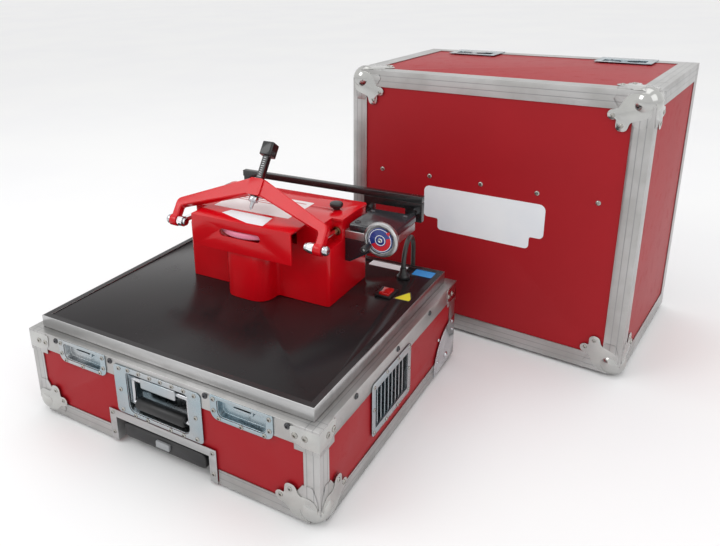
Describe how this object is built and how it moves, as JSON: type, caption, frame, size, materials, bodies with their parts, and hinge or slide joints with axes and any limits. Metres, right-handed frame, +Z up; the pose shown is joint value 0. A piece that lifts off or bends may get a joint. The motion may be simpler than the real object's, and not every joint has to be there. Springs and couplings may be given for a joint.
{
  "type": "skate sharpener",
  "caption": "Portable bench skate sharpener: red grinding head with wheel dresser and feed handwheel on the deck of a flight case, its deep lifted-off cover standing behind",
  "frame": {"origin": "middle of the case base's floor panel, on its underside", "axes": "+X to the right along the front of the case, +Y from the front of the case to its back, +Z up"},
  "size_m": [0.919, 1.0221, 0.542],
  "materials": {
    "red_laminate": "fine-textured laminate on board",
    "black_laminate": "satin laminate on board",
    "aluminium": "brushed extrusion",
    "zinc_plate": "blue zinc-plated pressed steel",
    "red_paint": "gloss enamel on a casting",
    "chrome": "polished",
    "steel": "bright zinc",
    "black_plastic": "moulded",
    "black_metal": "satin black",
    "rubber": "smooth",
    "bronze": "dark bearing bronze",
    "grinding_stone": "pink abrasive",
    "red_plastic": "translucent",
    "grey_plastic": "moulded",
    "motor_grey": "satin"
  },
  "bodies": {
    "case": {"base_tray": "red_laminate", "base_front_panel": "red_laminate", "base_rim": "aluminium", "base_edge_frame": "aluminium", "base_latch_dish_left": "zinc_plate", "base_latch_dish_right": "zinc_plate", "handle_dish": "zinc_plate", "pull_handle_channel": "steel", "vent_dish_left": "zinc_plate", "vent_dish_right": "zinc_plate", "wheel_bracket_left": "steel", "wheel_bracket_right": "steel", "deck_board": "black_laminate", "deck_edge": "aluminium", "switch_bezel": "black_plastic", "cord_gland": "black_plastic", "machine_body": "red_paint", "motor_housing": "motor_grey", "wheel_guard": "red_paint", "rod_bush_left": "bronze", "rod_bush_right": "bronze", "slide_housing": "aluminium", "slide_cover": "black_metal", "slide_gusset": "black_metal", "supply_cord": "rubber", "cord_coil": "rubber", "supply_plug": "black_plastic"},
    "carrying_handle": {"handle_bail": "steel", "handle_grip": "rubber"},
    "pull_out_handle": {"pull_handle": "black_plastic"},
    "pull_out_button": {"pull_handle_button": "grey_plastic"},
    "left_wheel": {"case_wheel_left": "rubber"},
    "right_wheel": {"case_wheel_right": "rubber"},
    "rocker": {"switch_rocker": "red_plastic"},
    "rotor": {"wheel_spindle": "steel", "grinding_wheel": "grinding_stone", "spindle_nut": "steel"},
    "left_guard_knob": {"guard_knob_left": "black_plastic"},
    "right_guard_knob": {"guard_knob_right": "black_plastic"},
    "feed": {"crossbar": "steel", "feed_bracket": "steel", "guide_rod_left": "chrome", "guide_rod_right": "chrome", "pivot_bolt_left": "steel", "pivot_bolt_right": "steel"},
    "feed_handwheel": {"handwheel": "aluminium", "handwheel_dial": "black_metal", "feed_screw": "steel"},
    "crank_grip": {"crank_knob": "black_plastic"},
    "dresser_yoke": {"yoke": "red_paint"},
    "dresser_quill": {"quill": "steel", "diamond_tip": "steel"},
    "dresser_lock": {"lock_knob": "black_plastic"},
    "cover": {"cover_shell": "red_laminate", "cover_edge_frame": "aluminium", "cover_rim": "aluminium", "cover_latch_dish_left": "zinc_plate", "cover_latch_dish_right": "zinc_plate"},
    "cover_left_latch": {"cover_latch_left": "zinc_plate"},
    "cover_right_latch": {"cover_latch_right": "zinc_plate"}
  },
  "joints": [
    {"name": "carrying_handle_swing", "type": "hinge", "parent": "case", "child": "carrying_handle", "pos_m": [0, -0.257, 0.127], "axis": [-1, 0, 0], "range_deg": [0, 90], "stiffness_Nm_per_rad": 0.3},
    {"name": "pull_out", "type": "slide", "parent": "case", "child": "pull_out_handle", "axis": [0, -1, 0], "range_m": [0, 0.3]},
    {"name": "pull_out_release", "type": "slide", "parent": "pull_out_handle", "child": "pull_out_button", "axis": [0, 1, 0], "range_m": [0, 0.004], "stiffness_N_per_m": 300},
    {"name": "left_wheel_roll", "type": "hinge", "parent": "case", "child": "left_wheel", "pos_m": [-0.277, 0.222, 0.017], "axis": [1, 0, 0], "continuous": true},
    {"name": "right_wheel_roll", "type": "hinge", "parent": "case", "child": "right_wheel", "pos_m": [0.277, 0.222, 0.017], "axis": [1, 0, 0], "continuous": true},
    {"name": "switch_tip", "type": "hinge", "parent": "case", "child": "rocker", "pos_m": [0.214, 0.114, 0.177], "axis": [1, 0, 0], "range_deg": [-8, 8]},
    {"name": "wheel_spin", "type": "hinge", "parent": "case", "child": "rotor", "pos_m": [0, 0.044, 0.301], "axis": [0, 0, 1], "continuous": true},
    {"name": "left_guard_knob_turn", "type": "hinge", "parent": "case", "child": "left_guard_knob", "pos_m": [-0.117, 0.108, 0.325], "axis": [0, 0, 1], "continuous": true},
    {"name": "right_guard_knob_turn", "type": "hinge", "parent": "case", "child": "right_guard_knob", "pos_m": [0.117, 0.108, 0.325], "axis": [0, 0, 1], "continuous": true},
    {"name": "handwheel_turn", "type": "hinge", "parent": "case", "child": "feed_handwheel", "pos_m": [0.231, 0.052, 0.308], "axis": [0, -1, 0], "range_deg": [-1441, 1441]},
    {"name": "feed_slide", "type": "slide", "parent": "case", "child": "feed", "axis": [0, -1, 0], "range_m": [-0.006, 0.006]},
    {"name": "crank_grip_spin", "type": "hinge", "parent": "feed_handwheel", "child": "crank_grip", "pos_m": [0.212, 0.034, 0.296], "axis": [0, 1, 0], "continuous": true},
    {"name": "yoke_swing", "type": "hinge", "parent": "feed", "child": "dresser_yoke", "pos_m": [0, -0.019, 0.301], "axis": [1, 0, 0], "range_deg": [-3, 160]},
    {"name": "quill_slide", "type": "slide", "parent": "dresser_yoke", "child": "dresser_quill", "axis": [0, 0.5878, 0.809], "range_m": [-0.005, 0.001]},
    {"name": "quill_lock_turn", "type": "hinge", "parent": "dresser_yoke", "child": "dresser_lock", "pos_m": [0, 0.03508, 0.37543], "axis": [0, -0.809, 0.5878], "continuous": true},
    {"name": "cover_lift", "type": "slide", "parent": "case", "child": "cover", "axis": [0, 0, 1], "range_m": [0, 0.3]},
    {"name": "cover_left_latch_turn", "type": "hinge", "parent": "cover", "child": "cover_left_latch", "pos_m": [0.16893, 0.69532, 0.53], "axis": [0, 0, 1], "range_deg": [0, 90]},
    {"name": "cover_right_latch_turn", "type": "hinge", "parent": "cover", "child": "cover_right_latch", "pos_m": [0.49124, 0.66233, 0.53], "axis": [0, 0, 1], "range_deg": [0, 90]}
  ],
  "couplings": [
    {"joint": "handwheel_turn", "follows": "feed_slide", "rad_per_m": 4188.8}
  ]
}
